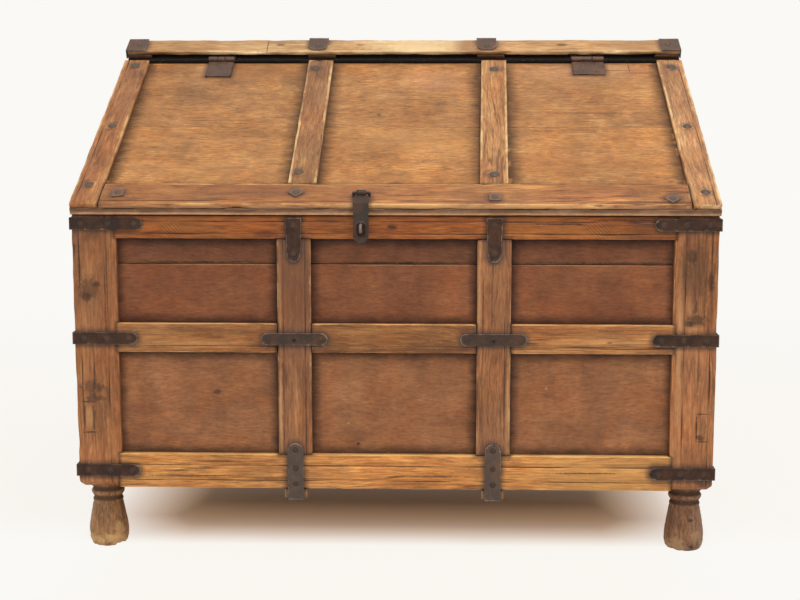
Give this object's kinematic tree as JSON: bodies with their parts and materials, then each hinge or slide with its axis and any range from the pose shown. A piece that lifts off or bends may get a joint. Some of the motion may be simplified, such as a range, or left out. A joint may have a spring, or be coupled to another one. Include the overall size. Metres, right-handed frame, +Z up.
{
  "type": "dowry chest",
  "caption": "Old wooden dowry chest on four turned feet, with a joined frame over boards, a sloping hinged lid under a narrow fixed strip, and forged iron straps, nails and a hasp.",
  "frame": {"origin": "centre of the bounding box's underside, on the floor between the four feet", "axes": "+Z up, -Y towards the front with the hasp, +X to the right of someone facing the front"},
  "size_m": [1.01, 0.535, 0.8163],
  "materials": {
    "frame_wood": "old oiled hardwood, worn pale at the edges",
    "panel_wood": "old oiled hardwood, darkened by dust and smoke",
    "lid_wood": "old oiled hardwood, worn satin",
    "rough_wood": "sawn hardwood, never oiled",
    "iron": "hand-forged iron, dark and lightly rusted"
  },
  "bodies": {
    "carcase": {"back_boards": "rough_wood", "back_bottom_rail": "frame_wood", "back_left_post": "frame_wood", "back_middle_rails": "frame_wood", "back_muntins": "frame_wood", "back_right_post": "frame_wood", "back_strap_nails": "iron", "back_top_rail": "frame_wood", "bottom_bearers": "rough_wood", "bottom_boards": "rough_wood", "corner_plates": "iron", "crossing_straps": "iron", "front_bottom_rail": "frame_wood", "front_left_post": "frame_wood", "front_lower_board": "panel_wood", "front_middle_board": "panel_wood", "front_middle_rails": "frame_wood", "front_muntins": "frame_wood", "front_right_post": "frame_wood", "front_strap_nails": "iron", "front_top_board": "panel_wood", "front_top_rail": "frame_wood", "hinge_fixed_leaves": "iron", "hinge_pins": "iron", "left_back_straps": "iron", "left_bottom_rail": "frame_wood", "left_front_straps": "iron", "left_side_boards": "rough_wood", "left_side_nails": "iron", "left_sloped_rail": "frame_wood", "lock_staple": "iron", "muntin_bottom_straps": "iron", "muntin_top_straps": "iron", "right_back_straps": "iron", "right_bottom_rail": "frame_wood", "right_front_straps": "iron", "right_side_boards": "rough_wood", "right_side_nails": "iron", "right_sloped_rail": "frame_wood", "roof_board": "rough_wood", "roof_nails": "iron", "side_middle_rails": "frame_wood", "side_muntins": "frame_wood", "strip_blocks": "frame_wood", "top_strip": "frame_wood", "top_strip_tongues": "iron"},
    "lid": {"lid_lower_board": "lid_wood", "lid_upper_board": "lid_wood", "lid_left_stile": "frame_wood", "lid_right_stile": "frame_wood", "lid_front_rail": "frame_wood", "lid_muntins": "frame_wood", "lid_washers": "iron", "lid_nails": "iron", "hinge_lid_leaves": "iron", "hinge_lid_nails": "iron", "hasp_staple": "iron"},
    "hasp": {"hasp": "iron"}
  },
  "joints": [
    {"name": "lid_hinge", "type": "hinge", "parent": "carcase", "child": "lid", "pos_m": [0, 0.20209, 0.77694], "axis": [-1, 0, 0], "range_deg": [0, 120]},
    {"name": "hasp_hinge", "type": "hinge", "parent": "lid", "child": "hasp", "pos_m": [-0.05, -0.23192, 0.56702], "axis": [-1, 0, 0], "range_deg": [0, 180]}
  ]
}
